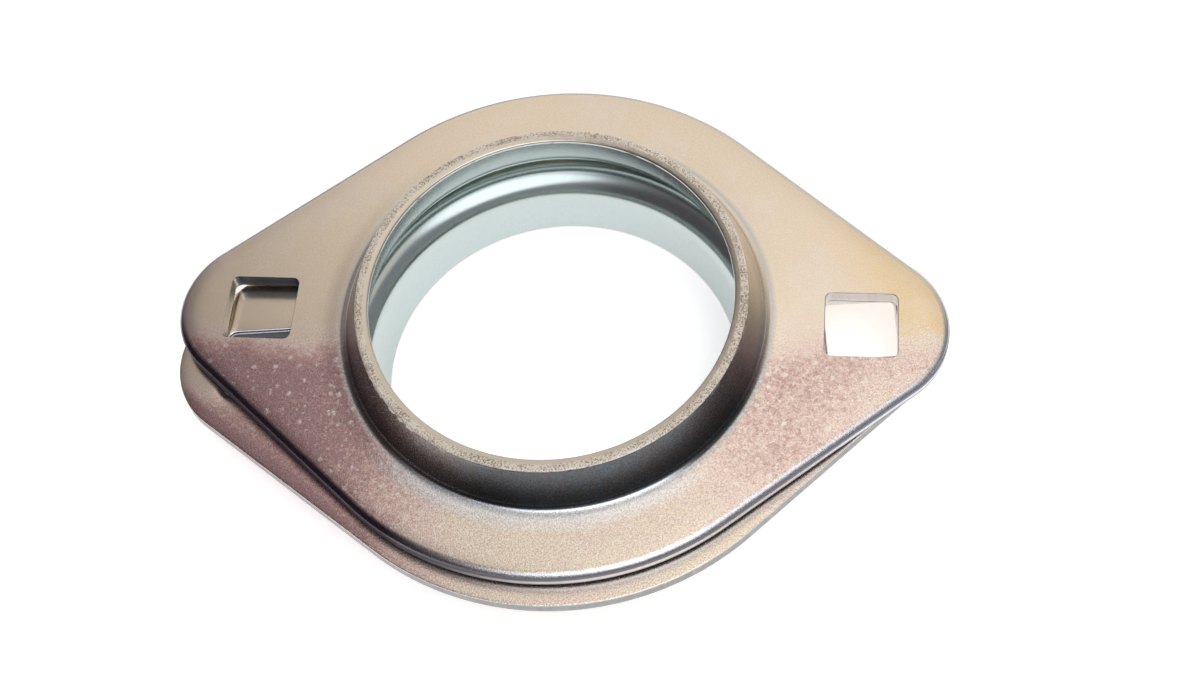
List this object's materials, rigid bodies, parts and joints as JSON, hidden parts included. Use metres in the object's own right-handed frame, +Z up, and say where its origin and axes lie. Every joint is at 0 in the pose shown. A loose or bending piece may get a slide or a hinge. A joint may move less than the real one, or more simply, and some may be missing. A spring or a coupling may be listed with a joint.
{
  "type": "pressed steel flange bearing housing",
  "caption": "Pressed-steel oval flange housing in loose halves with spherical-seat collars, square bolt holes and an open bore; the front half swings about a bolt hole to line up or open.",
  "frame": {"origin": "under the middle of the pair, on the surface that the rear half's collar rim stands on", "axes": "+Z up along the bore, from the rear half to the front half; +X along the rear half's line of bolt holes, towards the hole that the halves swing about; +Y to the left of +X"},
  "size_m": [0.0814, 0.0608, 0.0141],
  "materials": {
    "zinc_plate_rear": "zinc plated sheet with a warm iridescent passivate, satin, bare grey on sheared edges",
    "zinc_plate_front": "zinc plated sheet with a warm iridescent passivate, satin, bare grey on sheared edges"
  },
  "bodies": {
    "rear_half": {"rear_flangette": "zinc_plate_rear"},
    "front_half": {"front_flangette": "zinc_plate_front"}
  },
  "joints": [
    {"name": "front_swing", "type": "hinge", "parent": "rear_half", "child": "front_half", "pos_m": [0.03163, -0.00164, 0.00705], "axis": [0, 0, -1], "range_deg": [-5.95, 174.05]}
  ]
}
